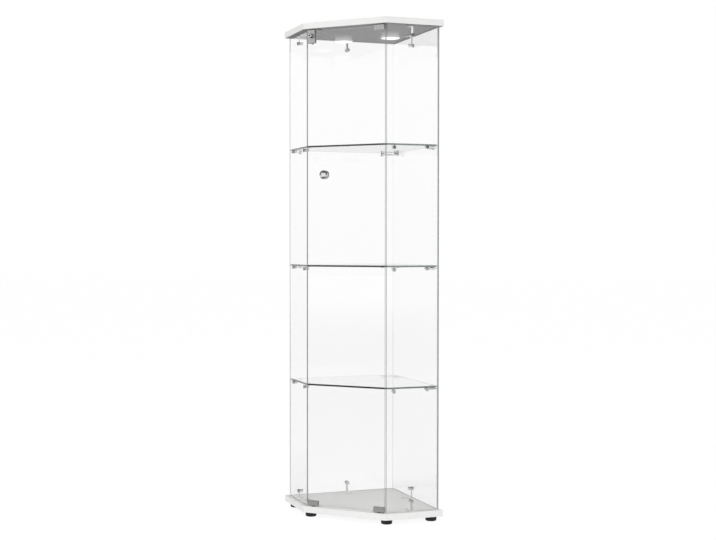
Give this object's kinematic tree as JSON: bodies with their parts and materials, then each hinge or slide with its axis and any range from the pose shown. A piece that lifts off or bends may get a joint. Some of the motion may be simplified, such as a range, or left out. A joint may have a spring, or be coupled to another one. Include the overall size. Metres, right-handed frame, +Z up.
{
  "type": "corner display cabinet",
  "caption": "Tall five-sided corner showcase of clear glass between thick white boards, with glass shelves, a hinged lockable glass door, round lamps under the top and black feet.",
  "frame": {"origin": "on the floor, under the middle of the bounding box of the boards", "axes": "+Z up, the door faces -Y, the room corner is at +Y, and the hinge side of the door is at +X"},
  "size_m": [0.6244, 0.47, 1.76],
  "materials": {
    "white_board": "white melamine faced board, satin",
    "white_band": "white plastic edge band, satin",
    "clear_glass": "clear float glass, polished faces and ground edges",
    "satin_fitting": "satin nickel plate",
    "chrome_fitting": "bright nickel or chrome plate",
    "screw_steel": "zinc plated steel",
    "lock_brass": "machined brass",
    "clear_soft": "clear soft plastic",
    "black_plastic": "black moulded plastic",
    "lamp_shell": "light grey lamp body",
    "lamp_lens": "white translucent lens",
    "light_board": "light board with diodes"
  },
  "bodies": {
    "carcass": {"base_board": "white_board", "base_edge_band": "white_band", "bracket_cap_screws": "chrome_fitting", "bracket_drum_nuts": "chrome_fitting", "bracket_screws": "screw_steel", "catch_cup": "black_plastic", "catch_magnet": "screw_steel", "clear_washers": "clear_soft", "foot_back": "black_plastic", "foot_front_left": "black_plastic", "foot_front_right": "black_plastic", "foot_left": "black_plastic", "foot_right": "black_plastic", "foot_screws": "screw_steel", "glass_back_left": "clear_glass", "glass_back_right": "clear_glass", "glass_side_left": "clear_glass", "glass_side_right": "clear_glass", "hinge_glide": "black_plastic", "lamp_bodies": "lamp_shell", "lamp_lenses": "lamp_lens", "lamp_light_boards": "light_board", "lock_strike": "screw_steel", "lower_panel_brackets": "chrome_fitting", "pan_head_screws": "screw_steel", "pivot_bush_lower": "black_plastic", "pivot_bush_upper": "black_plastic", "setting_pads": "clear_soft", "shelf_cap_screws": "chrome_fitting", "shelf_connectors_lower": "chrome_fitting", "shelf_connectors_middle": "chrome_fitting", "shelf_connectors_upper": "chrome_fitting", "shelf_drum_nuts": "chrome_fitting", "shelf_lower": "clear_glass", "shelf_middle": "clear_glass", "shelf_supports_lower": "chrome_fitting", "shelf_supports_middle": "chrome_fitting", "shelf_supports_upper": "chrome_fitting", "shelf_upper": "clear_glass", "top_board": "white_board", "top_edge_band": "white_band", "upper_panel_brackets": "chrome_fitting", "wire_sleeves": "black_plastic"},
    "door": {"door_glass": "clear_glass", "hinge_clamp_lower": "satin_fitting", "hinge_clamp_upper": "satin_fitting", "catch_clamp": "satin_fitting", "door_clamp_pads": "clear_soft", "clamp_grub_screws": "screw_steel", "pivot_pin_lower": "screw_steel", "pivot_pin_upper": "screw_steel", "knob_outer": "chrome_fitting", "knob_inner": "chrome_fitting", "knob_screw": "screw_steel", "knob_washers": "clear_soft", "lock_housing": "satin_fitting", "lock_barrel": "chrome_fitting"},
    "lock": {"lock_plug": "lock_brass", "lock_cam": "screw_steel", "lock_cam_screw": "screw_steel"}
  },
  "joints": [
    {"name": "door_hinge", "type": "hinge", "parent": "carcass", "child": "door", "pos_m": [0.14164, -0.21699, 0.9], "axis": [0, 0, 1], "range_deg": [0, 110]},
    {"name": "lock_turn", "type": "hinge", "parent": "door", "child": "lock", "pos_m": [-0.13414, -0.21949, 1.714], "axis": [0, -1, 0], "range_deg": [0, 180]}
  ]
}
